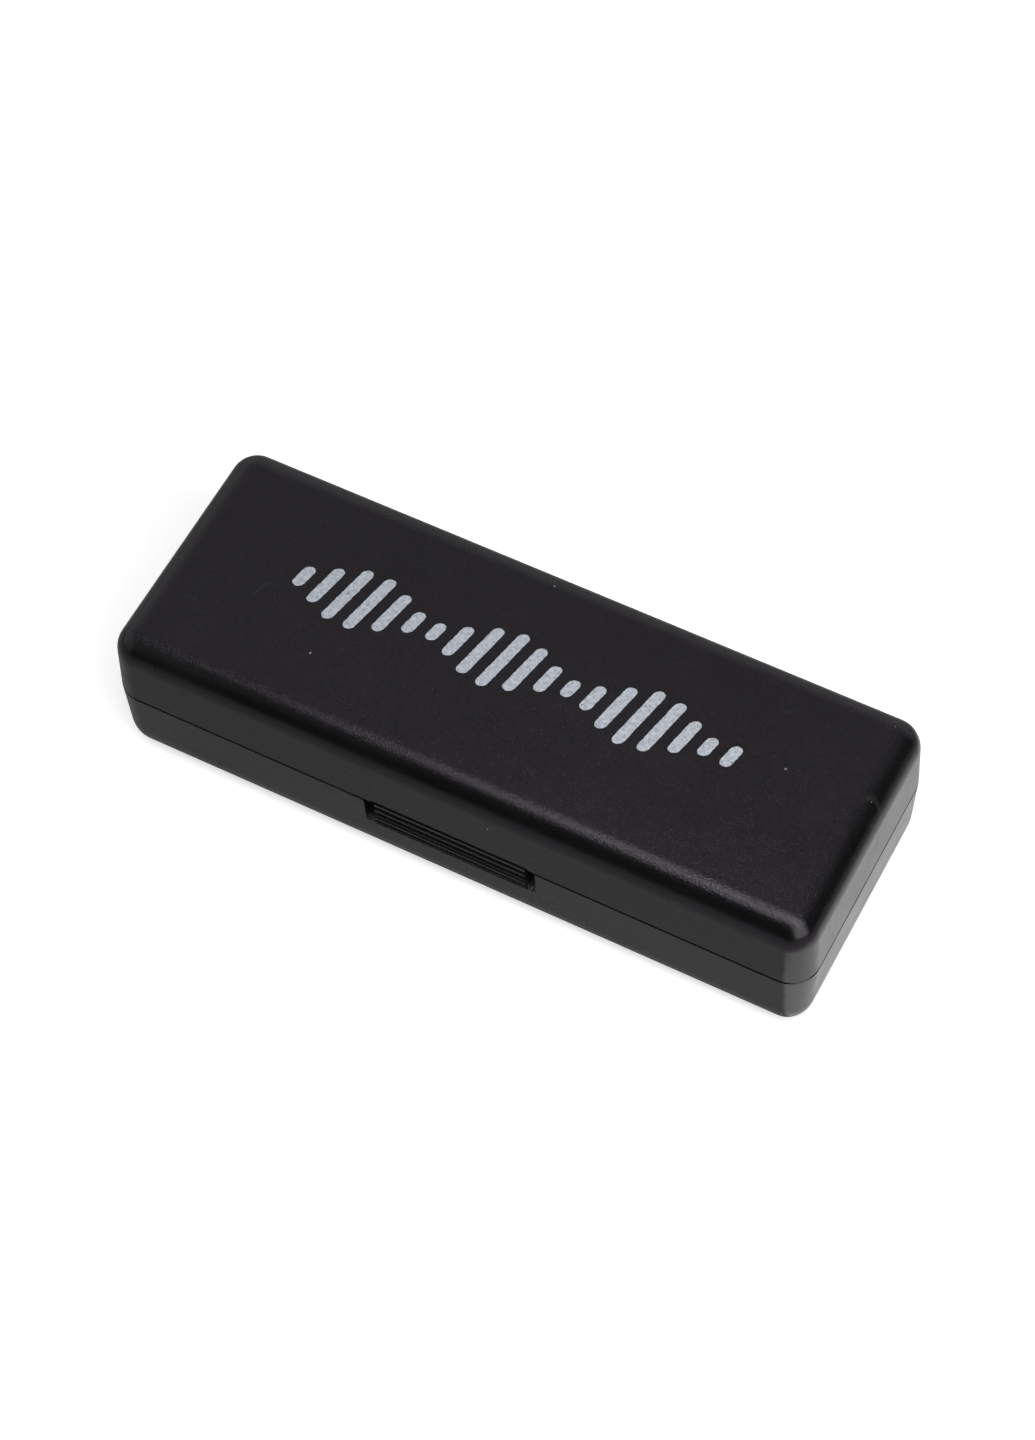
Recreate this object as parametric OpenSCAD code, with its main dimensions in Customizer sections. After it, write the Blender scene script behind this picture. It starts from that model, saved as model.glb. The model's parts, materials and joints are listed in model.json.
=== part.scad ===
// Ten-hole diatonic harmonica in its hinged plastic case.
// Millimetres, +Z up, origin at the centre of the case's resting face, front edge towards -Y.

/* [Case] */
// Outside length of the closed case
case_length = 125; // [115:0.5:135]
// Outside width of the case at the parting line
case_width = 46.2; // [43:0.1:50]
// Height of the base, from the table to the parting line
base_height = 16; // [14:0.5:20]
// Height of the lid above the parting line
lid_height = 14; // [12:0.5:18]
// Thickness of the moulded walls
wall = 1.6; // [1.2:0.1:2.4]
// Plan radius of the four upright corners
corner_r = 5; // [4:0.1:8]
// Height of the rounding along the lid's top edge
lid_edge_h = 4.9; // [2:0.1:6]
// Inset of the rounding along the lid's top edge
lid_edge_w = 4.6; // [2:0.1:6]
// Height of the rounding along the base's bottom edge
base_edge_h = 6.5; // [2:0.1:8]
// Inset of the rounding along the base's bottom edge
base_edge_w = 4.5; // [2:0.1:6]
// Inward lean of the lid's sides over their height
lid_draft = 0.3; // [0:0.05:0.4]
// Inward lean of the base's sides over their height
base_draft = 0.45; // [0:0.05:0.5]
// Bevel on both edges of the parting line
edge_bevel = 0.2; // [0:0.05:0.4]
// Gap between the closed lid and the base
parting_gap = 0.15; // [0.1:0.05:0.4]
// Height of the inner lip that guides the lid
lip_height = 1.4; // [1:0.1:2]

/* [Hinge] */
// Distance of each hinge from the middle of the case
hinge_x = 38; // [25:1:48]
// Outside radius of the knuckles
knuckle_r = 1.8; // [1.6:0.1:2.2]
// Distance of the pin's axis behind the rear wall
hinge_out = 0.8; // [0.6:0.1:1.2]
// Width of the lid's middle knuckle
lid_knuckle_w = 7; // [5:0.5:9]
// Width of each of the base's outer knuckles
base_knuckle_w = 4.5; // [3:0.5:6]
// Radius of the steel hinge pin
pin_r = 0.7; // [0.6:0.05:0.9]

/* [Catch] */
// Width of the thumb catch
catch_w = 27.2; // [20:0.2:34]
// Width of the notch in the base around the catch
notch_w = 30.8; // [24:0.2:38]
// Drop of the notch's front lip below the parting line
notch_drop = 6.5; // [5:0.1:8]
// Depth of the notch's back wall behind the front face
notch_depth = 2.0; // [1.6:0.1:3]
// Depth of the catch's face, between its grip ribs, behind the front face
catch_inset = 0.85; // [0.6:0.05:0.9]
// Thickness of the catch plate
catch_t = 0.6; // [0.5:0.05:0.8]

/* [Harmonica] */
// Number of mouth holes
holes = 10; // [10:1:12]
// Distance between neighbouring mouth holes
hole_pitch = 7.5; // [7:0.1:8]
// Width of a mouth hole and its chamber
hole_w = 5.2; // [4.4:0.1:6]
// Length of a chamber from the front edge
chamber_l = 21.5; // [20:0.5:22]
// Length of the comb
comb_l = 101.6; // [98:0.2:104]
// Width of the comb from front to back
comb_w = 27; // [25:0.5:29]
// Thickness of the comb
comb_h = 6.4; // [5.5:0.1:7]
// Thickness of a brass reed plate
plate_t = 0.9; // [0.8:0.05:1.2]
// Length of the domed part of a cover
dome_l = 87; // [84:1:90]
// Height of a cover above its reed plate
cover_h = 5.8; // [5:0.1:6]
// Sheet thickness of a cover
cover_t = 0.5; // [0.4:0.05:0.6]
// Length of the lowest reed's free tongue
reed_long = 15.5; // [14:0.5:16]
// Length of the highest reed's free tongue
reed_short = 9.5; // [8:0.5:11]
// Height of the harmonica's middle above the table
harp_z = 15.2; // [15:0.1:15.6]

/* [Hidden] */
$fn = 48;
eps = 0.01;
case_black = [0.07, 0.07, 0.075];
steel = [0.72, 0.72, 0.74];
chrome = [0.82, 0.83, 0.85];
brass = [0.78, 0.62, 0.3];
comb_black = [0.09, 0.09, 0.1];

case_height = base_height + lid_height;
lid_floor = base_height + parting_gap;
front_y = -case_width / 2;
hinge_y = case_width / 2 + hinge_out;
hinge_gap = 0.25;
knuckle_side_gap = 0.3;
lip_inset = wall + 0.25;
lip_t = 0.75;

// catch, measured inwards from the front face and upwards from the parting line
catch_top = -0.2;
catch_bottom = -6.1;
catch_foot_rise = 0.7;
notch_back_rise = 1.5;
notch_ledge_rise = 0.4;
notch_ledge = 1.3;
catch_web_t = 0.4;
catch_pivot_in = 1.15;
catch_pivot_up = 0.55;
catch_pivot_r = 0.3;
catch_pivot_gap = 0.07;
// each grip rib: height of its middle and thickness of its crest
grip_ribs = [[-0.55, 0.5], [-2.17, 0.36], [-3.6, 0.12], [-4.6, 0.36], [-5.57, 0.12]];
grip_rib_out = 0.75;
grip_rib_flare = 0.1;

// harmonica heights
comb_top = harp_z + comb_h / 2;
comb_bottom = harp_z - comb_h / 2;
plate_l = comb_l - 1;
plate_w = comb_w - 0.6;
front_edge = -comb_w / 2;
dome_front = front_edge + 1.9;
dome_rear = -front_edge - 2.3;
flange_reach = 6.2;
bolt_x = dome_l / 2 + 2.9;
bolt_r = 0.95;
bolt_hole_r = 1.1;
bolt_head_r = 1.9;
bolt_head_h = 1.0;
nut_r = 2.3;
nut_h = 1.2;
screw_y = -front_edge - 2.9;
screw_pitch = 20;
screw_r = 0.65;
screw_head_r = 1.2;
screw_head_h = 0.6;
reed_w = 2.2;
reed_side_gap = 0.06;
reed_t = 0.25;
reed_lift = 0.05;
foot_l = 2.1;
foot_w = 2.4;
foot_t = 0.3;
rivet_r = 0.5;
rivet_head_r = 0.8;
blow_root_y = 5.5;
draw_root_y = -8.2;

// ---------- shared shapes ----------

function hole_x(i) = (i - (holes + 1) / 2) * hole_pitch;
function reed_len(i) = reed_long + (reed_short - reed_long) * (i - 1) / (holes - 1);
function ellipse_pts(cx, cz, a, b, s, n = 12) =
    [for (k = [0 : n]) [cx + a * cos(90 * k / n), cz + s * b * sin(90 * k / n)]];

// Half section of a case shell, from the corner's upright axis outwards.
// r: plan radius; z0: parting end; z1: closed end; bevel only on the outside.
function shell_half(r, draft, ew, eh, z0, z1, bevel) =
    let (s = sign(z1 - z0), knee = z1 - s * eh)
    concat(
        [[0, z0], [r - bevel, z0]],
        bevel > 0 ? [[r, z0 + s * bevel]] : [],
        ellipse_pts(r - draft - ew, knee, ew, eh, s),
        [[0, z1]]
    );

// A block with a swept edge: four quarter turns, four straight sides and a core.
module swept_block(l, w, r, section, z0, z1) {
    hx = l / 2 - r;
    hy = w / 2 - r;
    for (mx = [0, 1], my = [0, 1])
        mirror([mx, 0, 0])
            mirror([0, my, 0])
                translate([hx, hy, 0])
                    rotate_extrude(angle = 90)
                        polygon(section);
    for (my = [0, 1])
        mirror([0, my, 0])
            translate([-hx, hy, 0])
                rotate([90, 0, 90])
                    linear_extrude(2 * hx)
                        polygon(section);
    for (mx = [0, 1])
        mirror([mx, 0, 0])
            translate([hx, hy, 0])
                rotate([90, 0, 0])
                    linear_extrude(2 * hy)
                        polygon(section);
    translate([-hx, -hy, min(z0, z1)])
        cube([2 * hx, 2 * hy, abs(z1 - z0)]);
}

module lid_block(inset, z0, bevel) {
    swept_block(
        case_length - 2 * inset, case_width - 2 * inset, corner_r - inset,
        shell_half(corner_r - inset, lid_draft, lid_edge_w - inset, lid_edge_h - inset,
            z0, case_height - inset, bevel),
        z0, case_height - inset
    );
}

module base_block(inset, z0, bevel) {
    swept_block(
        case_length - 2 * inset, case_width - 2 * inset, corner_r - inset,
        shell_half(corner_r - inset, base_draft, base_edge_w - inset, base_edge_h - inset,
            z0, inset, bevel),
        inset, z0
    );
}

module rounded_rect(l, w, r) {
    square([l - 2 * r, w], center = true);
    square([l, w - 2 * r], center = true);
    for (x = [-1, 1], y = [-1, 1])
        translate([x * (l / 2 - r), y * (w / 2 - r)])
            circle(r);
}

module ring(inset_out, inset_in) {
    difference() {
        rounded_rect(case_length - 2 * inset_out, case_width - 2 * inset_out, corner_r - inset_out);
        rounded_rect(case_length - 2 * inset_in, case_width - 2 * inset_in, corner_r - inset_in);
    }
}

// A prism along X from points given as [y, z].
module along_x(points, length, x = 0) {
    translate([x - length / 2, 0, 0])
        rotate([90, 0, 90])
            linear_extrude(length)
                polygon(points);
}

// A round bar along X.
module rod_x(r, length, x, y, z) {
    translate([x - length / 2, y, z])
        rotate([0, 90, 0])
            cylinder(r = r, h = length);
}

function front_pts(list) = [for (p = list) [front_y + p[0], base_height + p[1]]];

// ---------- case ----------

module hinge_leaf(up, length, x) {
    rod_x(knuckle_r, length, x, hinge_y, base_height);
    along_x(
        [for (p = [[knuckle_r, 0], [knuckle_r, 2.2], [-1.6, 6.2], [-1.6, 0]])
            [hinge_y + p[0], base_height + up * p[1]]],
        length, x
    );
}

module base_knuckles() {
    for (sx = [-1, 1], side = [-1, 1])
        hinge_leaf(-1, base_knuckle_w,
            sx * hinge_x + side * (lid_knuckle_w / 2 + knuckle_side_gap + base_knuckle_w / 2));
}

module lid_knuckles() {
    for (sx = [-1, 1])
        hinge_leaf(1, lid_knuckle_w, sx * hinge_x);
}

// Ribs across the base that carry the harmonica, and end stops.
module cradle() {
    intersection() {
        union() {
            for (x = [-28, 28])
                difference() {
                    translate([x - wall / 2, -case_width / 2, 0])
                        cube([wall, case_width, 13]);
                    translate([x - wall, -14.1, 5])
                        cube([2 * wall, 28.2, 20]);
                }
            for (sx = [-1, 1], y = [-6, 6])
                translate([sx * (comb_l / 2 + 0.5 + 6) - 6, y - wall / 2, 0])
                    cube([12, wall, 15]);
        }
        base_block(wall - 0.2, base_height, 0);
    }
}

module case_base() {
    color(case_black)
        difference() {
            union() {
                difference() {
                    base_block(0, base_height, edge_bevel);
                    base_block(wall, base_height + eps, 0);
                }
                translate([0, 0, base_height - 2.6])
                    linear_extrude(2.6)
                        ring(wall - 0.4, lip_inset + lip_t);
                translate([0, 0, base_height - 2.6])
                    linear_extrude(2.6 + lip_height)
                        ring(lip_inset, lip_inset + lip_t);
                along_x(front_pts([[0.8, -0.1], [3.2, -0.1], [3.2, -8.6], [0.8, -8.6]]), notch_w + 4);
                rod_x(0.3, catch_w - 7, 0, front_y + notch_depth, base_height - 3.3);
                cradle();
                base_knuckles();
            }
            // notch for the catch, with a sloping ledge for the thumb
            difference() {
                along_x(
                    front_pts(concat(
                        [[-2, 4], [notch_depth, 4], [notch_depth, notch_back_rise - notch_drop]],
                        [[notch_ledge, notch_ledge_rise - notch_drop], [0, -notch_drop], [-2, -notch_drop - 2]]
                    )),
                    notch_w
                );
                rod_x(0.3, catch_w - 7, 0, front_y + notch_depth, base_height - 3.3);
            }
            along_x(front_pts([[-2, 4], [4, 4], [4, -0.1], [-2, -0.1]]), notch_w + 2);
            // clearance for the lid's knuckles, and the pin bores
            for (sx = [-1, 1]) {
                rod_x(knuckle_r + hinge_gap, lid_knuckle_w + 2 * knuckle_side_gap,
                    sx * hinge_x, hinge_y, base_height);
                rod_x(pin_r + 0.02, 60, sx * (hinge_x + 10), hinge_y, base_height);
            }
        }
}

module case_lid() {
    color(case_black)
        difference() {
            union() {
                difference() {
                    lid_block(0, lid_floor, edge_bevel);
                    lid_block(wall, lid_floor - eps, 0);
                }
                // boss behind the catch's pivot
                along_x(front_pts([[1.2, 0.15], [2.4, 0.15], [2.4, 2.4], [1.2, 3.2]]), catch_w + 2);
                // ribs over the harmonica
                intersection() {
                    for (x = [-28, 28])
                        difference() {
                            translate([x - wall / 2, -case_width / 2, 20])
                                cube([wall, case_width, 12]);
                            translate([x - wall, -14.5, 10])
                                cube([2 * wall, 29, 16.3]);
                        }
                    lid_block(wall - 0.2, lid_floor, 0);
                }
                lid_knuckles();
            }
            // relief over the catch and the seat of its pivot
            along_x(front_pts([[-1, -1], [catch_pivot_in, -1], [catch_pivot_in, 0.75], [-1, 0.75]]), catch_w + 1);
            rod_x(catch_pivot_r + catch_pivot_gap, catch_w + 1, 0,
                front_y + catch_pivot_in, base_height + catch_pivot_up);
            along_x(
                front_pts([[0.7, -1], [1.52, -1], [1.52, catch_pivot_up], [0.7, catch_pivot_up]]),
                catch_w + 1
            );
            // clearance for the base's knuckles, and the pin bores
            for (sx = [-1, 1], side = [-1, 1])
                rod_x(knuckle_r + hinge_gap, base_knuckle_w + 2 * knuckle_side_gap,
                    sx * hinge_x + side * (lid_knuckle_w / 2 + knuckle_side_gap + base_knuckle_w / 2),
                    hinge_y, base_height);
            for (sx = [-1, 1])
                rod_x(pin_r + 0.06, lid_knuckle_w + 2, sx * hinge_x, hinge_y, base_height);
        }
}

// The catch's outline: down its ribbed face, along its foot, up its back over the barb.
function catch_outline() =
    let (face = catch_inset, back = catch_inset + catch_t)
    concat(
        [[catch_pivot_in - catch_web_t / 2, catch_pivot_up], [catch_pivot_in - catch_web_t / 2, catch_top]],
        [[face, catch_top]],
        [for (rib = grip_ribs, side = [1, -1], root = [side > 0 ? 1 : 0, side > 0 ? 0 : 1])
            [face - (1 - root) * grip_rib_out, rib[0] + side * (rib[1] / 2 + root * grip_rib_flare)]],
        [[face, catch_bottom], [back, catch_bottom + catch_foot_rise]],
        [[back, -4.4], [back + 0.3, -4.1], [back + 0.3, -3.8], [back, -3.5]],
        [[back, catch_top], [catch_pivot_in + catch_web_t / 2, catch_top]],
        [[catch_pivot_in + catch_web_t / 2, catch_pivot_up]]
    );

module lid_catch() {
    color(case_black) {
        along_x(front_pts(catch_outline()), catch_w);
        rod_x(catch_pivot_r, catch_w, 0, front_y + catch_pivot_in, base_height + catch_pivot_up);
    }
}

module hinge_pin(sx) {
    color(steel)
        rod_x(pin_r, lid_knuckle_w + 2 * base_knuckle_w, sx * hinge_x, hinge_y, base_height);
}

module hinge_pin_left() {
    hinge_pin(-1);
}

module hinge_pin_right() {
    hinge_pin(1);
}

// ---------- harmonica ----------

module at_bolts() {
    for (sx = [-1, 1])
        translate([sx * bolt_x, 0, 0])
            children();
}

module at_screws() {
    for (k = [-2 : 2])
        translate([k * screw_pitch, screw_y, 0])
            children();
}

module comb() {
    color(comb_black)
        difference() {
            translate([0, 0, comb_bottom])
                linear_extrude(comb_h)
                    rounded_rect(comb_l, comb_w, 2.5);
            for (i = [1 : holes])
                translate([hole_x(i) - hole_w / 2, front_edge - 1, comb_bottom - 1])
                    cube([hole_w, chamber_l + 1, comb_h + 2]);
            at_bolts()
                cylinder(r = bolt_hole_r, h = 40);
            at_screws()
                cylinder(r = screw_r + 0.05, h = 40);
        }
}

// A reed plate with one slot per reed; dir is the way the tongues point from their roots.
module reed_plate(z, root_y, dir) {
    color(brass)
        difference() {
            translate([0, 0, z])
                linear_extrude(plate_t)
                    rounded_rect(plate_l, plate_w, 2);
            for (i = [1 : holes]) {
                translate([hole_x(i) - reed_w / 2 - reed_side_gap, root_y + (dir < 0 ? -reed_len(i) - 0.2 : 0), z - 1])
                    cube([reed_w + 2 * reed_side_gap, reed_len(i) + 0.2, plate_t + 2]);
                translate([hole_x(i), root_y - dir * (foot_l / 2 + 0.1), z - 1])
                    cylinder(r = rivet_r + 0.02, h = plate_t + 2);
            }
            at_bolts()
                cylinder(r = bolt_hole_r, h = 40);
            at_screws()
                cylinder(r = screw_r + 0.1, h = 40);
        }
}

module blow_reed_plate() {
    reed_plate(comb_top, blow_root_y, -1);
}

module draw_reed_plate() {
    reed_plate(comb_bottom - plate_t, draw_root_y, 1);
}

// The riveted feet of ten reeds; both plates carry their reeds on the lower face.
module reed_feet(z, root_y, dir) {
    color(brass)
        for (i = [1 : holes])
            translate([hole_x(i), root_y - dir * (foot_l / 2 + 0.1), z]) {
                translate([-foot_w / 2, -foot_l / 2, -foot_t])
                    cube([foot_w, foot_l, foot_t]);
                translate([0, 0, -foot_t - 0.3])
                    cylinder(r = rivet_head_r, h = 0.3);
                translate([0, 0, -foot_t])
                    cylinder(r = rivet_r, h = foot_t + plate_t);
                translate([0, 0, plate_t])
                    cylinder(r = rivet_head_r, h = 0.2);
            }
}

module blow_reed_rivets() {
    reed_feet(comb_top, blow_root_y, -1);
}

module draw_reed_rivets() {
    reed_feet(comb_bottom - plate_t, draw_root_y, 1);
}

// One free tongue under a plate: thick at the root, thinned behind the tip.
module reed(i, z, root_y, dir) {
    l = reed_len(i);
    color(brass)
        along_x(
            [for (p = [[0, 0], [l, 0], [l, reed_t], [0.82 * l, reed_t], [0.74 * l, 0.6 * reed_t],
                    [0.4 * l, 0.6 * reed_t], [0.25 * l, reed_t], [0, reed_t]])
                [root_y + dir * p[0], z - reed_lift - p[1]]],
            reed_w, hole_x(i)
        );
}

module blow_reed(i) {
    reed(i, comb_top, blow_root_y, -1);
}

module draw_reed(i) {
    reed(i, comb_bottom - plate_t, draw_root_y, 1);
}

// Cover section: two curves, up from the front flange and over to the rear lip.
function bez(p, t) =
    pow(1 - t, 3) * p[0] + 3 * pow(1 - t, 2) * t * p[1] + 3 * (1 - t) * pow(t, 2) * p[2] + pow(t, 3) * p[3];
function bez_dir(p, t) =
    pow(1 - t, 2) * (p[1] - p[0]) + 2 * (1 - t) * t * (p[2] - p[1]) + pow(t, 2) * (p[3] - p[2]);
function inside(p, t, d) =
    let (v = bez_dir(p, t), q = bez(p, t) + d * [v[1], -v[0]] / norm(v))
    [q[0], max(q[1], 0)];
rise = [[dome_front, 0], [dome_front + 1, 3.6], [-6, cover_h - 0.1], [0, cover_h]];
fall = [[0, cover_h], [5, cover_h + 0.1], [dome_rear - 1.4, cover_h - 0.3], [dome_rear, 2.8]];
steps = 12;
function dome_curve(d) =
    concat(
        [for (k = [0 : steps]) inside(rise, k / steps, d)],
        [for (k = [1 : steps]) inside(fall, k / steps, d)]
    );
function reversed(list) = [for (k = [len(list) - 1 : -1 : 0]) list[k]];

// A cover standing on z = 0, dome upwards.
module cover() {
    difference() {
        union() {
            along_x(concat(dome_curve(0), reversed(dome_curve(cover_t))), dome_l);
            for (sx = [-1, 1])
                along_x(
                    concat([[dome_front, 0]], dome_curve(0), [[dome_rear, 0]]),
                    cover_t, sx * (dome_l - cover_t) / 2
                );
            translate([-dome_l / 2, front_edge + 0.6, 0])
                cube([dome_l, 1.7, cover_t]);
            for (mx = [0, 1])
                mirror([mx, 0, 0])
                    translate([dome_l / 2 - cover_t, 0, 0])
                        linear_extrude(cover_t)
                            difference() {
                                translate([-10, 0])
                                    rounded_rect(20 + 2 * flange_reach, comb_w - 1.2, 2);
                                translate([-40, -20])
                                    square([40, 40]);
                            }
        }
        at_bolts()
            translate([0, 0, -1])
                cylinder(r = bolt_hole_r, h = 5);
    }
}

module top_cover() {
    color(chrome)
        translate([0, 0, comb_top + plate_t])
            cover();
}

module bottom_cover() {
    color(chrome)
        translate([0, 0, comb_bottom - plate_t])
            mirror([0, 0, 1])
                cover();
}

module cover_bolts() {
    top = comb_top + plate_t + cover_t;
    length = comb_h + 2 * plate_t + 2 * cover_t + nut_h + 0.3;
    color(steel)
        at_bolts()
            difference() {
                union() {
                    translate([0, 0, top])
                        cylinder(r = bolt_head_r, h = bolt_head_h);
                    translate([0, 0, top - length])
                        cylinder(r = bolt_r, h = length);
                }
                translate([-bolt_head_r, -0.25, top + 0.5])
                    cube([2 * bolt_head_r, 0.5, 1]);
            }
}

module cover_nuts() {
    color(steel)
        at_bolts()
            translate([0, 0, comb_bottom - plate_t - cover_t - nut_h])
                difference() {
                    cylinder(r = nut_r, h = nut_h, $fn = 6);
                    translate([0, 0, -1])
                        cylinder(r = bolt_r + 0.03, h = nut_h + 2);
                }
}

// Five screws down through a plate into the comb.
module plate_screws() {
    color(steel)
        at_screws()
            difference() {
                union() {
                    cylinder(r = screw_head_r, h = screw_head_h);
                    translate([0, 0, -2.9])
                        cylinder(r = screw_r, h = 2.9);
                }
                translate([-screw_head_r, -0.2, 0.3])
                    cube([2 * screw_head_r, 0.4, 1]);
            }
}

module top_plate_screws() {
    translate([0, 0, comb_top + plate_t])
        plate_screws();
}

module bottom_plate_screws() {
    translate([0, 0, comb_bottom - plate_t])
        mirror([0, 0, 1])
            plate_screws();
}

// ---------- nodes ----------

case_base();
case_lid();
lid_catch();
hinge_pin_left();
hinge_pin_right();
comb();
blow_reed_plate();
draw_reed_plate();
blow_reed_rivets();
draw_reed_rivets();
top_plate_screws();
bottom_plate_screws();
top_cover();
bottom_cover();
cover_bolts();
cover_nuts();
blow_reed(1);  // blow_reed_1
blow_reed(2);  // blow_reed_2
blow_reed(3);  // blow_reed_3
blow_reed(4);  // blow_reed_4
blow_reed(5);  // blow_reed_5
blow_reed(6);  // blow_reed_6
blow_reed(7);  // blow_reed_7
blow_reed(8);  // blow_reed_8
blow_reed(9);  // blow_reed_9
blow_reed(10);  // blow_reed_10
draw_reed(1);  // draw_reed_1
draw_reed(2);  // draw_reed_2
draw_reed(3);  // draw_reed_3
draw_reed(4);  // draw_reed_4
draw_reed(5);  // draw_reed_5
draw_reed(6);  // draw_reed_6
draw_reed(7);  // draw_reed_7
draw_reed(8);  // draw_reed_8
draw_reed(9);  // draw_reed_9
draw_reed(10);  // draw_reed_10
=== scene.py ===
"""Harmonica in its moulded case: materials, printed ornament, moulding details, camera and studio."""
import json
import math
import random

import bmesh
import bpy
from mathutils import Matrix, Vector
from mathutils.bvhtree import BVHTree


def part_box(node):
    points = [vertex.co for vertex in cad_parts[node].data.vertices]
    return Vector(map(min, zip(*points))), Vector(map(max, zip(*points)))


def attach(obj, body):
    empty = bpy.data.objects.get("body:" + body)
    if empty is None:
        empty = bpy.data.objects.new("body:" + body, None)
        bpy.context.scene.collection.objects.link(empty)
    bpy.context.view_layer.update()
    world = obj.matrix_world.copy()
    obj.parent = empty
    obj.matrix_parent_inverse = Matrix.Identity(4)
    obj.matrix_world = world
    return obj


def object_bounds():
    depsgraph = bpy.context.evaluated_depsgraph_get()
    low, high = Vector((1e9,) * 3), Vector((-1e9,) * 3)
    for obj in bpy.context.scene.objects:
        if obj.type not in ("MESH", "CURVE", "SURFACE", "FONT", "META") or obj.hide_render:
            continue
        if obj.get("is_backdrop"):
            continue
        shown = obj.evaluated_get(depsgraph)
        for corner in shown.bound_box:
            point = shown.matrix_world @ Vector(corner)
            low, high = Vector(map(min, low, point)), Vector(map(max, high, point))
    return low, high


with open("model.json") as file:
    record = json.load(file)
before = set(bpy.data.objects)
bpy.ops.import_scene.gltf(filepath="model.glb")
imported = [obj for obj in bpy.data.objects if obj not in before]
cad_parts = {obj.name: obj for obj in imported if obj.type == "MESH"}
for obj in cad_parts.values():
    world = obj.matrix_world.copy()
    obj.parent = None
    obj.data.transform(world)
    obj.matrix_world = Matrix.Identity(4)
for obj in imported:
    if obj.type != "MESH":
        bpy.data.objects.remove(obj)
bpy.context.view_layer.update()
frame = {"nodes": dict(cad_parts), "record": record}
nodes = frame["nodes"]
MM = 0.001


# ---------- node helpers ----------

class Graph:
    """A short way to add and join shader nodes."""

    def __init__(self, tree):
        self.tree = tree

    def add(self, kind, **settings):
        """A new node, with its properties or input sockets set by name."""
        made = self.tree.nodes.new(kind)
        for key, value in settings.items():
            if hasattr(made, key):
                setattr(made, key, value)
            else:
                made.inputs[key.replace("_", " ")].default_value = value
        return made

    def join(self, source, target):
        self.tree.links.new(source, target)

    def coords(self, scale=(1, 1, 1)):
        """Object coordinates, stretched by scale."""
        where = self.add("ShaderNodeTexCoord")
        mapping = self.add("ShaderNodeMapping")
        mapping.inputs["Scale"].default_value = scale
        self.join(where.outputs["Object"], mapping.inputs["Vector"])
        return mapping.outputs["Vector"]

    def noise(self, scale, detail=3.0, rough=0.55, stretch=(1, 1, 1)):
        """Cloudy noise, 0 to 1."""
        tex = self.add("ShaderNodeTexNoise", Scale=scale, Detail=detail, Roughness=rough)
        self.join(self.coords(stretch), tex.inputs["Vector"])
        return tex.outputs["Fac"]

    def warped(self, scale, amount):
        """Object coordinates pushed about by a slow noise."""
        drift = self.add("ShaderNodeTexNoise", Scale=scale, Detail=1.0)
        here = self.coords()
        self.join(here, drift.inputs["Vector"])
        push = self.add("ShaderNodeVectorMath", operation="SCALE")
        push.inputs["Scale"].default_value = amount
        self.join(drift.outputs["Color"], push.inputs[0])
        moved = self.add("ShaderNodeVectorMath", operation="ADD")
        self.join(here, moved.inputs[0])
        self.join(push.outputs[0], moved.inputs[1])
        return moved.outputs[0]

    def cells(self, scale, feature="F1", vector=None):
        """A Voronoi cell pattern."""
        tex = self.add("ShaderNodeTexVoronoi", Scale=scale, feature=feature)
        self.join(vector or self.coords(), tex.inputs["Vector"])
        return tex

    def facing_up(self, low, high):
        """1 where the piece's own surface faces +Z, fading to 0."""
        where = self.add("ShaderNodeTexCoord")
        parts = self.add("ShaderNodeSeparateXYZ")
        self.join(where.outputs["Normal"], parts.inputs[0])
        return self.ramp(parts.outputs["Z"], [(low, 0.0), (high, 1.0)])

    def ramp(self, fac, stops):
        """A colour ramp from (position, grey or colour) pairs."""
        node = self.add("ShaderNodeValToRGB")
        band = node.color_ramp
        while len(band.elements) < len(stops):
            band.elements.new(0.5)
        for element, (place, tone) in zip(band.elements, stops):
            element.position = place
            element.color = (tone, tone, tone, 1) if isinstance(tone, (int, float)) else (*tone, 1)
        self.join(fac, node.inputs["Fac"])
        return node.outputs["Color"]

    def math(self, op, a, b):
        """A sum of two numbers or sockets."""
        node = self.add("ShaderNodeMath", operation=op)
        for socket, value in zip(node.inputs, (a, b)):
            if isinstance(value, (int, float)):
                socket.default_value = value
            else:
                self.join(value, socket)
        return node.outputs["Value"]

    def mix(self, fac, a, b):
        """Two colours mixed by fac."""
        node = self.add("ShaderNodeMix", data_type="RGBA")
        for socket, value in ((node.inputs[0], fac), (node.inputs[6], a), (node.inputs[7], b)):
            if isinstance(value, (int, float)):
                socket.default_value = value
            elif isinstance(value, tuple):
                socket.default_value = (*value, 1)
            else:
                self.join(value, socket)
        return node.outputs[2]

    def bump(self, height, strength, distance):
        node = self.add("ShaderNodeBump", Strength=strength, Distance=distance)
        self.join(height, node.inputs["Height"])
        return node.outputs["Normal"]


def material(name, **sockets):
    """A new Principled material; returns (material, graph, shader)."""
    mat = bpy.data.materials.new(name)
    mat.use_nodes = True
    shader = mat.node_tree.nodes["Principled BSDF"]
    for key, value in sockets.items():
        shader.inputs[key.replace("_", " ")].default_value = value
    return mat, Graph(mat.node_tree), shader


# ---------- materials ----------

PLASTIC_IOR = 1.5
BLACK_SHEEN = (1.0, 0.92, 1.0, 1.0)
DUST_COLOUR = (0.8, 0.8, 0.82)
PIT_SIZE = 0.26 * MM
GRAIN_NOISE = 3800
GRAIN_NOISE_SHARE = 1.6
SIDE_GRAIN = 0.15
INK_PINHOLE = (0.03, 0.03, 0.032)


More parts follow.
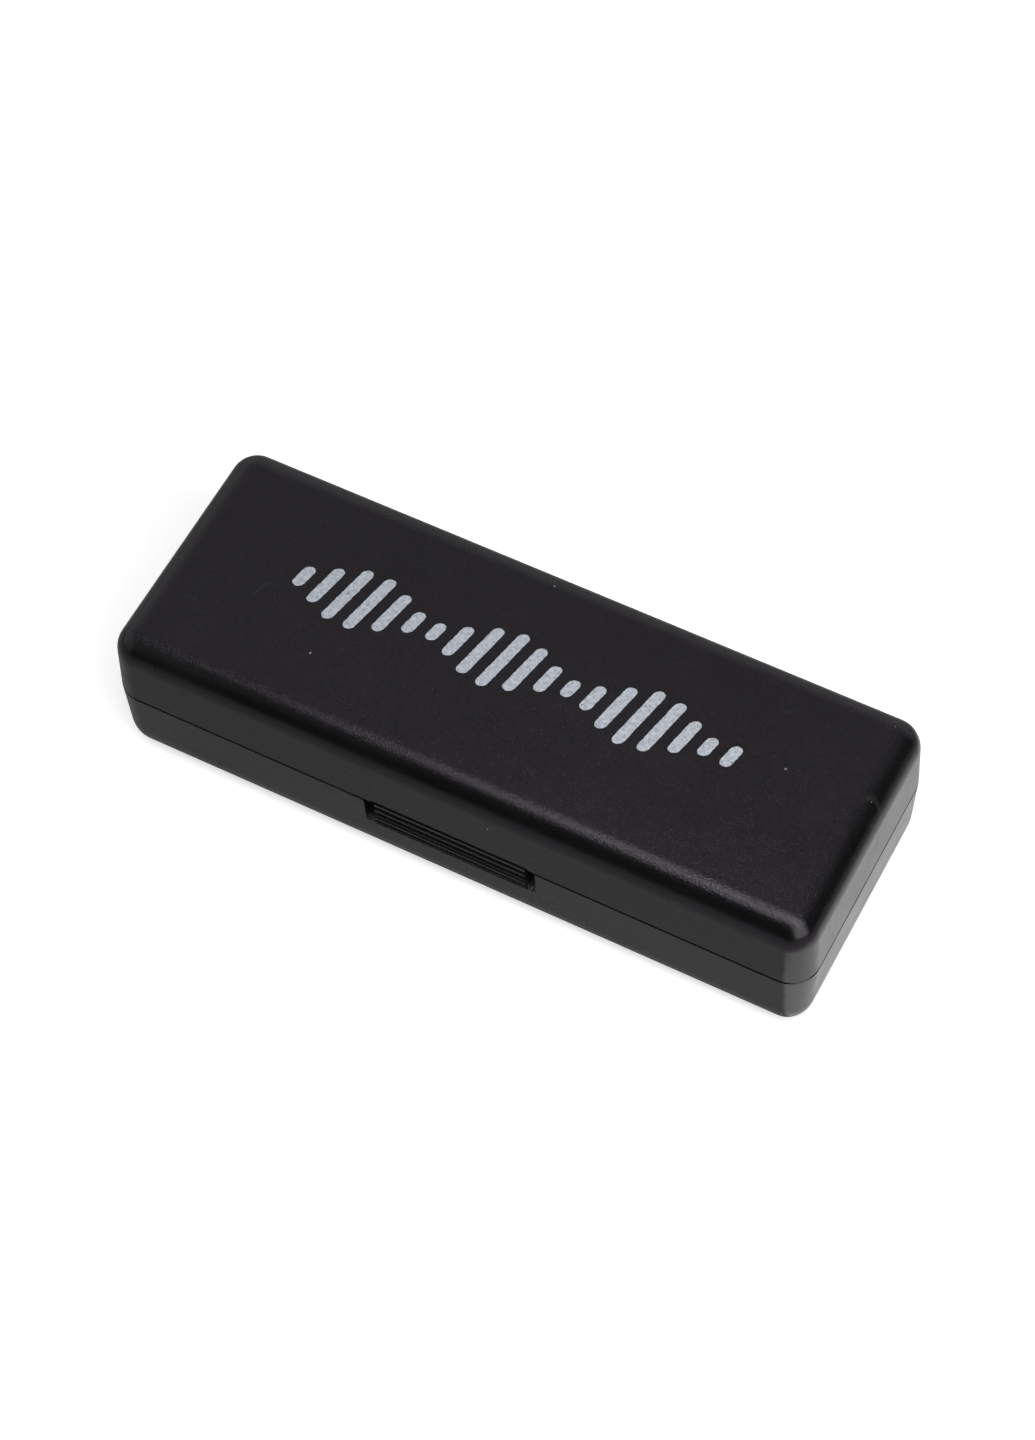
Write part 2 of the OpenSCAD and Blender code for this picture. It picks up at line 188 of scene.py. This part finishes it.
def dust(g, size, share, seen):
    """Tiny specks: a random share of the cells of a pattern hold one, each of its own size."""
    cell = g.cells(1 / size)
    pick = g.add("ShaderNodeSeparateColor")
    g.join(cell.outputs["Color"], pick.inputs["Color"])
    held = g.ramp(pick.outputs["Red"], [(1 - share, 0.0), (1 - share + 0.01, 1.0)])
    radius = g.math("ADD", g.math("MULTIPLY", pick.outputs["Green"], 0.05), 0.04)
    inside = g.math("LESS_THAN", cell.outputs["Distance"], radius)
    shade = g.math("MULTIPLY", g.math("ADD", g.math("MULTIPLY", pick.outputs["Blue"], 0.8), 0.2), seen)
    return g.math("MULTIPLY", g.math("MULTIPLY", inside, held), shade)


def hairlines(g, scale, rare):
    """Short curved hairline marks: cell borders, kept only where a slow noise peaks."""
    cell = g.cells(scale, "DISTANCE_TO_EDGE", g.warped(scale * 2, 0.5 / scale))
    line = g.ramp(cell.outputs["Distance"], [(0.0, 1.0), (0.004, 1.0), (0.01, 0.0)])
    kept = g.ramp(g.noise(scale * 1.7, detail=1), [(rare, 0.0), (rare + 0.02, 1.0)])
    return g.math("MULTIPLY", line, kept)


def moulded_plastic(name, tone, grain, rough):
    """Black moulded plastic: grain on faces that look up, faint flow, dust and hairline marks."""
    mat, g, shader = material(name, IOR=PLASTIC_IOR, Specular_Tint=BLACK_SHEEN)
    flow = g.noise(35, detail=4, rough=0.5)
    colour = g.ramp(flow, [(0.3, [t * 0.75 for t in tone]), (0.7, [t * 1.3 for t in tone])])
    marks = g.math("ADD", dust(g, 0.0024, 0.07, 0.5), dust(g, 0.0009, 0.3, 0.1))
    marks = g.math("ADD", marks, g.math("MULTIPLY", hairlines(g, 45, 0.66), 0.014))
    g.join(g.mix(marks, colour, DUST_COLOUR), shader.inputs["Base Color"])
    worn = g.ramp(g.noise(90, detail=5, rough=0.65), [(0.25, rough - 0.05), (0.75, rough + 0.06)])
    g.join(worn, shader.inputs["Roughness"])
    pits = g.cells(1 / PIT_SIZE, "SMOOTH_F1").outputs["Distance"]
    fine = g.math("MULTIPLY", g.noise(GRAIN_NOISE, detail=2, rough=0.6), GRAIN_NOISE_SHARE)
    share = g.math("ADD", g.math("MULTIPLY", g.facing_up(0.72, 0.93), 1 - SIDE_GRAIN), SIDE_GRAIN)
    skin = g.math("MULTIPLY", g.math("ADD", pits, fine), share)
    g.join(g.bump(skin, 1.0, grain), shader.inputs["Normal"])
    return mat


def smooth_plastic(name, tone, rough):
    """Smooth moulded plastic with faint flow lines and a light orange peel."""
    mat, g, shader = material(name, IOR=PLASTIC_IOR, Specular_Tint=BLACK_SHEEN)
    flow = g.noise(60, detail=4, stretch=(0.3, 1, 1))
    colour = g.ramp(flow, [(0.3, [t * 0.8 for t in tone]), (0.7, [t * 1.25 for t in tone])])
    g.join(colour, shader.inputs["Base Color"])
    worn = g.ramp(g.noise(300, detail=4), [(0.3, rough - 0.06), (0.7, rough + 0.08)])
    g.join(worn, shader.inputs["Roughness"])
    g.join(g.bump(g.noise(900, detail=2), 0.25, 0.03 * MM), shader.inputs["Normal"])
    return mat


def rolled_metal(name, dark, light, rough, stretch=(0.04, 1, 1), lines=2600):
    """Metal with fine rolling or brushing lines and slight tarnish."""
    mat, g, shader = material(name, Metallic=1.0)
    streaks = g.noise(lines, detail=4, rough=0.6, stretch=stretch)
    stain = g.noise(120, detail=5, rough=0.6)
    base = g.ramp(stain, [(0.3, dark), (0.65, light)])
    streaked = g.mix(g.math("MULTIPLY", streaks, 0.2), base, tuple(c * 0.7 for c in light))
    g.join(streaked, shader.inputs["Base Color"])
    g.join(g.ramp(streaks, [(0.3, rough - 0.06), (0.7, rough + 0.1)]), shader.inputs["Roughness"])
    g.join(g.bump(streaks, 0.12, 0.02 * MM), shader.inputs["Normal"])
    return mat


def silver_ink():
    """Silver screen-print: mottled pigment with worn pinholes."""
    mat, g, shader = material("silver_ink", IOR=1.45, Metallic=0.25)
    mottle = g.noise(1500, detail=4, rough=0.7)
    tones = [(0.28, (0.31, 0.34, 0.39)), (0.5, (0.54, 0.58, 0.65)), (0.75, (0.78, 0.81, 0.86))]
    colour = g.ramp(mottle, tones)
    worn = g.ramp(g.noise(900, detail=3, rough=0.7), [(0.3, 1.0), (0.34, 0.0)])
    g.join(g.mix(worn, colour, INK_PINHOLE), shader.inputs["Base Color"])
    g.join(g.ramp(mottle, [(0.3, 0.4), (0.7, 0.62)]), shader.inputs["Roughness"])
    g.join(g.bump(mottle, 0.3, 0.03 * MM), shader.inputs["Normal"])
    return mat


CASE_TONE = (0.0036, 0.0034, 0.0038)
CATCH_TONE = (0.0095, 0.009, 0.0098)
CASE = moulded_plastic("case_plastic", CASE_TONE, 0.045 * MM, 0.26)
CATCH = smooth_plastic("catch_plastic", CATCH_TONE, 0.26)
COMB = smooth_plastic("comb_plastic", (0.008, 0.008, 0.009), 0.28)
STEEL = rolled_metal("pin_steel", (0.38, 0.38, 0.39), (0.6, 0.6, 0.62), 0.3)
SCREW = rolled_metal("screw_steel", (0.45, 0.45, 0.46), (0.68, 0.68, 0.7), 0.26, (1, 1, 1), 1400)
CHROME = rolled_metal("cover_chrome", (0.6, 0.6, 0.62), (0.82, 0.82, 0.84), 0.16, (0.03, 1, 1), 3200)
PLATE = rolled_metal("reed_plate_brass", (0.64, 0.47, 0.2), (0.74, 0.56, 0.26), 0.26, (0.2, 1, 1), 4200)
REED = rolled_metal("reed_brass", (0.6, 0.42, 0.17), (0.83, 0.65, 0.32), 0.24, (1, 0.05, 1), 3200)
INK = silver_ink()

SLOT_MATERIAL = {
    "case_plastic": CASE, "catch_plastic": CATCH, "comb_plastic": COMB, "pin_steel": STEEL,
    "screw_steel": SCREW, "cover_chrome": CHROME, "reed_plate_brass": PLATE, "reed_brass": REED,
}


# ---------- smooth shading of the CAD pieces ----------

WELD_DISTANCE = 0.0015 * MM
SMOOTH_ANGLE = math.radians(28)


def smooth_group():
    """Geometry nodes that weld a CAD mesh and smooth it except over real edges."""
    group = bpy.data.node_groups.new("weld_and_smooth", "GeometryNodeTree")
    group.interface.new_socket("Geometry", in_out="INPUT", socket_type="NodeSocketGeometry")
    group.interface.new_socket("Geometry", in_out="OUTPUT", socket_type="NodeSocketGeometry")
    g = Graph(group)
    start = g.add("NodeGroupInput")
    weld = g.add("GeometryNodeMergeByDistance", Distance=WELD_DISTANCE)
    faces = g.add("GeometryNodeSetShadeSmooth", domain="FACE")
    angle = g.add("GeometryNodeInputMeshEdgeAngle")
    soft = g.add("FunctionNodeCompare", operation="LESS_THAN")
    soft.inputs["B"].default_value = SMOOTH_ANGLE
    edges = g.add("GeometryNodeSetShadeSmooth", domain="EDGE")
    end = g.add("NodeGroupOutput")
    g.join(start.outputs[0], weld.inputs["Geometry"])
    g.join(weld.outputs[0], faces.inputs["Geometry"])
    g.join(faces.outputs[0], edges.inputs["Geometry"])
    g.join(angle.outputs["Unsigned Angle"], soft.inputs["A"])
    g.join(soft.outputs["Result"], edges.inputs["Shade Smooth"])
    g.join(edges.outputs[0], end.inputs[0])
    return group


SMOOTH = smooth_group()


def soften(obj):
    """Smooth shading with flat faces kept flat."""
    mod = obj.modifiers.new("smooth", "NODES")
    mod.node_group = SMOOTH
    weights = obj.modifiers.new("weights", "WEIGHTED_NORMAL")
    weights.keep_sharp = True
    weights.weight = 100


def paint(obj, mat):
    obj.data.materials.clear()
    obj.data.materials.append(mat)


for part in frame["record"]["subparts"]:
    paint(nodes[part["node"]], SLOT_MATERIAL[part["material_slot"]])
    soften(nodes[part["node"]])


# ---------- mesh helpers ----------

def mesh_piece(name, bm, mat, body):
    """A finished bmesh as a piece riding on a body."""
    bmesh.ops.recalc_face_normals(bm, faces=bm.faces)
    data = bpy.data.meshes.new(name)
    bm.to_mesh(data)
    bm.free()
    obj = bpy.data.objects.new(name, data)
    bpy.context.scene.collection.objects.link(obj)
    paint(obj, mat)
    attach(obj, body)


def slab(bm, outline, z0, z1):
    """A flat slab from an outline of (x, y) points."""
    low = [bm.verts.new((x, y, z0)) for x, y in outline]
    high = [bm.verts.new((x, y, z1)) for x, y in outline]
    bm.faces.new(low[::-1])
    bm.faces.new(high)
    count = len(outline)
    for i in range(count):
        j = (i + 1) % count
        bm.faces.new((low[i], low[j], high[j], high[i]))


# ---------- printed ornament on the lid ----------

PRINT_LEFT, PRINT_RIGHT = -39.5 * MM, 37.0 * MM
PRINT_Y = 2.5 * MM
PRINT_BARS = 20
BAR_WIDTH = 2.0 * MM
BAR_SHORT, BAR_TALL = 3.6 * MM, 12.0 * MM
SLANT = math.tan(math.radians(12))
INK_THICK = 0.02 * MM
INK_SINK = 0.01 * MM
RAGGED = 0.045 * MM
RAGGED_STEP = 0.35 * MM
RAGGED_SEED = 11
SWELLS = 3
SWELL_START = 0.6


def slanted_bar(x, y, width, height, slant, rng, turns=12):
    """Outline of a round-ended bar, leaning by slant, with the slightly ragged edge of screen-printing."""
    r = width / 2
    straight = height / 2 - r
    steps = max(1, round(2 * straight / RAGGED_STEP))
    points = []
    for side in (1, -1):
        for k in range(turns + 1):
            a = math.pi * k / turns
            points.append((side * r * math.cos(a), side * (straight + r * math.sin(a))))
        for k in range(1, steps):
            points.append((-side * r, side * (straight - 2 * straight * k / steps)))
    ragged = [(px + rng.uniform(-RAGGED, RAGGED), py + rng.uniform(-RAGGED, RAGGED)) for px, py in points]
    return [(x + px + slant * py, y + py) for px, py in ragged]


def ornament():
    """A row of slanted bars that rises and falls like a sound wave."""
    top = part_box("case_lid")[1][2]
    rng = random.Random(RAGGED_SEED)
    bm = bmesh.new()
    for i in range(PRINT_BARS):
        t = i / (PRINT_BARS - 1)
        swell = 0.5 - 0.5 * math.cos(2 * math.pi * SWELLS * t + SWELL_START)
        height = BAR_SHORT + (BAR_TALL - BAR_SHORT) * swell
        x = PRINT_LEFT + (PRINT_RIGHT - PRINT_LEFT) * t
        outline = slanted_bar(x, PRINT_Y, BAR_WIDTH, height, SLANT, rng)
        slab(bm, outline, top - INK_SINK, top + INK_THICK)
    mesh_piece("lid_ornament", bm, INK, "lid")


ornament()


# ---------- raised hole numbers on the upper cover ----------

# Each digit's strokes on a grid 3 wide and 5 high.
DIGIT_STROKES = {
    "0": [[(0, 1), (0, 4), (1, 5), (2, 5), (3, 4), (3, 1), (2, 0), (1, 0), (0, 1)]],
    "1": [[(0.7, 4), (1.8, 5), (1.8, 0)]],
    "2": [[(0, 4), (1, 5), (2, 5), (3, 4), (3, 3.2), (0, 0), (3, 0)]],
    "3": [[(0, 4.3), (1, 5), (2, 5), (3, 4.2), (3, 3.4), (2, 2.6), (1.2, 2.6)],
          [(2, 2.6), (3, 1.8), (3, 0.8), (2, 0), (1, 0), (0, 0.7)]],
    "4": [[(2.3, 0), (2.3, 5), (0, 1.6), (3.2, 1.6)]],
    "5": [[(2.9, 5), (0.4, 5), (0.2, 2.8), (1.6, 3.2), (2.7, 2.8), (3, 1.6), (2.4, 0.4), (1.2, 0),
           (0, 0.6)]],
    "6": [[(2.7, 4.6), (1.7, 5), (0.5, 4), (0, 2.2), (0.2, 0.8), (1.3, 0), (2.5, 0.4), (3, 1.6),
           (2.3, 2.8), (1.1, 2.8), (0.2, 2)]],
    "7": [[(0, 5), (3, 5), (1.2, 0)]],
    "8": [[(1.5, 2.7), (0.4, 3.4), (0.5, 4.5), (1.5, 5), (2.5, 4.5), (2.6, 3.4), (1.5, 2.7), (2.9, 1.8),
           (2.8, 0.6), (1.5, 0), (0.2, 0.6), (0.1, 1.8), (1.5, 2.7)]],
    "9": [[(0.3, 0.4), (1.3, 0), (2.5, 1), (3, 2.8), (2.8, 4.2), (1.7, 5), (0.5, 4.6), (0, 3.4), (0.7, 2.2),
           (1.9, 2.2), (2.8, 3)]],
}
DIGIT_HEIGHT = 2.6 * MM
DIGIT_STROKE = 0.42 * MM
DIGIT_RAISE = 0.18 * MM
DIGIT_SINK = 0.04 * MM
DIGIT_CREST = 0.6
DIGIT_CAP = 0.7
DIGIT_STEP = 0.5 * MM
DIGIT_GAP = 0.4 * MM
DIGIT_GRID = 5
NUMBER_Y = -8.2 * MM
HOLE_COUNT = 10
HOLE_PITCH = 7.5 * MM


def cover_surface():
    """The upper cover's own surface, to drape the numbers over."""
    data = nodes["top_cover"].data
    points = [v.co.copy() for v in data.vertices]
    return BVHTree.FromPolygons(points, [tuple(p.vertices) for p in data.polygons])


def stroke_bar(bm, start, end, surface):
    """One straight stroke: a low ridge with chamfered flanks, draped over the surface."""
    along = (Vector(end) - Vector(start)).normalized()
    across = Vector((-along.y, along.x))
    half = DIGIT_STROKE / 2
    crest = half * DIGIT_CREST
    section = ((-half, -DIGIT_SINK), (-crest, DIGIT_RAISE), (crest, DIGIT_RAISE), (half, -DIGIT_SINK))
    a = Vector(start) - along * half * DIGIT_CAP
    b = Vector(end) + along * half * DIGIT_CAP
    steps = max(1, round((b - a).length / DIGIT_STEP))
    rows = []
    for k in range(steps + 1):
        middle = a + (b - a) * k / steps
        row = []
        for offset, rise in section:
            spot = middle + across * offset
            hit = surface.ray_cast(Vector((spot.x, spot.y, 0.1)), Vector((0, 0, -1)))[0]
            row.append(bm.verts.new((spot.x, spot.y, hit.z + rise)))
        rows.append(row)
    for near, far in zip(rows, rows[1:]):
        for j in range(len(section)):
            k = (j + 1) % len(section)
            bm.faces.new((near[j], near[k], far[k], far[j]))
    bm.faces.new(rows[0][::-1])
    bm.faces.new(rows[-1])


def hole_numbers():
    """1 to 10, one above each mouth hole."""
    surface = cover_surface()
    unit = DIGIT_HEIGHT / DIGIT_GRID
    advance = 3 * unit + DIGIT_GAP
    middle = (HOLE_COUNT + 1) / 2
    bm = bmesh.new()
    for hole in range(1, HOLE_COUNT + 1):
        digits = str(hole)
        left = (hole - middle) * HOLE_PITCH - (len(digits) * advance - DIGIT_GAP) / 2
        for position, digit in enumerate(digits):
            x = left + position * advance
            for line in DIGIT_STROKES[digit]:
                spots = [(x + u * unit, NUMBER_Y + (v - DIGIT_GRID / 2) * unit) for u, v in line]
                for start, end in zip(spots, spots[1:]):
                    stroke_bar(bm, start, end, surface)
    mesh_piece("hole_numbers", bm, CHROME, "harmonica")


hole_numbers()


# ---------- ejector-pin witness marks inside the lid ----------

MARK_RADIUS = 2.5 * MM
MARK_RAISE = 0.05 * MM
MARK_ROOT = 0.1 * MM
MARK_SIDES = 40
MARK_PLACES = [(-44 * MM, -12 * MM), (-44 * MM, 12 * MM), (44 * MM, -12 * MM), (44 * MM, 12 * MM)]
LID_WALL = 1.6 * MM


def ejector_marks():
    """Four low round pads on the lid's inner face, with a chamfered rim."""
    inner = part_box("case_lid")[1][2] - LID_WALL
    section = ((MARK_RADIUS, -MARK_ROOT), (MARK_RADIUS, MARK_RAISE * 0.6), (MARK_RADIUS * 0.94, MARK_RAISE))
    bm = bmesh.new()
    for x, y in MARK_PLACES:
        rings = []
        for radius, drop in section:
            ring = []
            for k in range(MARK_SIDES):
                a = 2 * math.pi * k / MARK_SIDES
                spot = (x + radius * math.cos(a), y + radius * math.sin(a), inner - drop)
                ring.append(bm.verts.new(spot))
            rings.append(ring)
        for low, high in zip(rings, rings[1:]):
            for k in range(MARK_SIDES):
                j = (k + 1) % MARK_SIDES
                bm.faces.new((low[k], low[j], high[j], high[k]))
        bm.faces.new(rings[-1])
        bm.faces.new(rings[0][::-1])
    mesh_piece("lid_ejector_marks", bm, CASE, "lid")


ejector_marks()


# ---------- camera ----------

CAMERA_AZIMUTH = 29.85
CAMERA_ELEVATION = 57.41
CAMERA_ROLL = -2.69
CAMERA_DISTANCE = 613.6 * MM
CAMERA_RIGHT = -0.17 * MM
CAMERA_UP = 10.6 * MM
CAMERA_DROP = 1.575 * MM
CAMERA_LENS = 92.71


def place_camera():
    """A long lens, seen from above and to the front right."""
    a, e, r = (math.radians(v) for v in (CAMERA_AZIMUTH, CAMERA_ELEVATION, CAMERA_ROLL))
    back = Vector((math.sin(a) * math.cos(e), -math.cos(a) * math.cos(e), math.sin(e)))
    right = Vector((math.cos(a), math.sin(a), 0))
    up = back.cross(right)
    right, up = right * math.cos(r) + up * math.sin(r), up * math.cos(r) - right * math.sin(r)
    place = back * CAMERA_DISTANCE + right * CAMERA_RIGHT + up * CAMERA_UP - Vector((0, 0, CAMERA_DROP))
    data = bpy.data.cameras.new("camera")
    data.sensor_width = 36
    data.lens = CAMERA_LENS
    data.clip_start, data.clip_end = 0.01, 20
    obj = bpy.data.objects.new("camera", data)
    bpy.context.scene.collection.objects.link(obj)
    turn = Matrix((right, up, back)).transposed().to_4x4()
    obj.matrix_world = Matrix.Translation(place) @ turn
    bpy.context.scene.camera = obj


place_camera()


# ---------- studio ----------

def area_light(name, place, aim, size, radiance):
    """A soft panel of a given radiance, facing aim, out of the camera's sight."""
    data = bpy.data.lights.new(name, "AREA")
    data.shape = "RECTANGLE"
    data.size, data.size_y = size
    data.energy = radiance * math.pi * size[0] * size[1]
    obj = bpy.data.objects.new(name, data)
    bpy.context.scene.collection.objects.link(obj)
    obj.location = place
    obj.rotation_mode = "QUATERNION"
    obj.rotation_quaternion = (Vector(aim) - Vector(place)).to_track_quat("-Z", "Y")
    obj.visible_camera = False


FLOOR_BOUNCE = (0.44, 0.435, 0.44)
FLOOR_GLOW = 0.6
FLOOR_HALF = 3.0
FLOOR_DROP = 0.05 * MM


def floor():
    """A pale floor that glows to the camera, as on a light table, and throws less light back."""
    bm = bmesh.new()
    signs = ((-1, -1), (1, -1), (1, 1), (-1, 1))
    bm.faces.new([bm.verts.new((u * FLOOR_HALF, v * FLOOR_HALF, -FLOOR_DROP)) for u, v in signs])
    data = bpy.data.meshes.new("floor")
    bm.to_mesh(data)
    bm.free()
    obj = bpy.data.objects.new("floor", data)
    bpy.context.scene.collection.objects.link(obj)
    mat, g, shader = material("floor_paper", Roughness=0.8, Specular_IOR_Level=0.1)
    seen = g.add("ShaderNodeLightPath").outputs["Is Camera Ray"]
    paper = g.ramp(g.noise(40), [(0.0, 0.86), (1.0, 0.9)])
    g.join(g.mix(seen, FLOOR_BOUNCE, paper), shader.inputs["Base Color"])
    shader.inputs["Emission Color"].default_value = (1, 1, 1, 1)
    g.join(g.math("MULTIPLY", seen, FLOOR_GLOW), shader.inputs["Emission Strength"])
    paint(obj, mat)
    obj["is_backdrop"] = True


WALL_SIDE = (-0.55, 0.83, 0)
WALL_DARK = (0.025, 0.025, 0.025)
WALL_PALE = (0.61, 0.6, 0.61)
CAMERA_WHITE = (0.95, 0.95, 0.95)


def backdrop():
    """A pale wall behind and to the left, dark to the front and right, and white to the camera."""
    world = bpy.data.worlds.new("studio")
    bpy.context.scene.world = world
    world.use_nodes = True
    g = Graph(world.node_tree)
    where = g.add("ShaderNodeTexCoord")
    side = g.add("ShaderNodeVectorMath", operation="DOT_PRODUCT")
    side.inputs[1].default_value = WALL_SIDE
    g.join(where.outputs["Generated"], side.inputs[0])
    wall = g.ramp(side.outputs["Value"], [(0.05, WALL_DARK), (0.42, WALL_PALE)])
    height = g.add("ShaderNodeSeparateXYZ")
    g.join(where.outputs["Generated"], height.inputs[0])
    lit = g.mix(g.ramp(height.outputs["Z"], [(0.1, 0.0), (0.75, 0.38)]), wall, (0, 0, 0))
    seen = g.add("ShaderNodeLightPath")
    tone = g.mix(seen.outputs["Is Camera Ray"], lit, CAMERA_WHITE)
    g.join(tone, world.node_tree.nodes["Background"].inputs["Color"])


def studio():
    """A strip overhead for the front edge, soft fills from both sides, and a card under the right end."""
    floor()
    area_light("overhead", (0.105, -0.07, 0.3), (0.105, -0.07, 0), (0.34, 0.12), 4.6)
    area_light("right_fill", (0.7, -0.4, 0.5), (0, 0, 0), (0.8, 0.8), 2.0)
    area_light("left_fill", (-0.75, -0.5, 0.45), (0, 0, 0), (0.8, 0.8), 0.4)
    card = (0.05, 0.1)
    card_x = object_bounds()[1][0] - 0.003 + card[0] / 2
    area_light("right_card", (card_x, 0.01, 0.0003), (card_x, 0.01, 1), card, 0.66)
    backdrop()
    bpy.context.scene.view_settings.view_transform = "Standard"


studio()
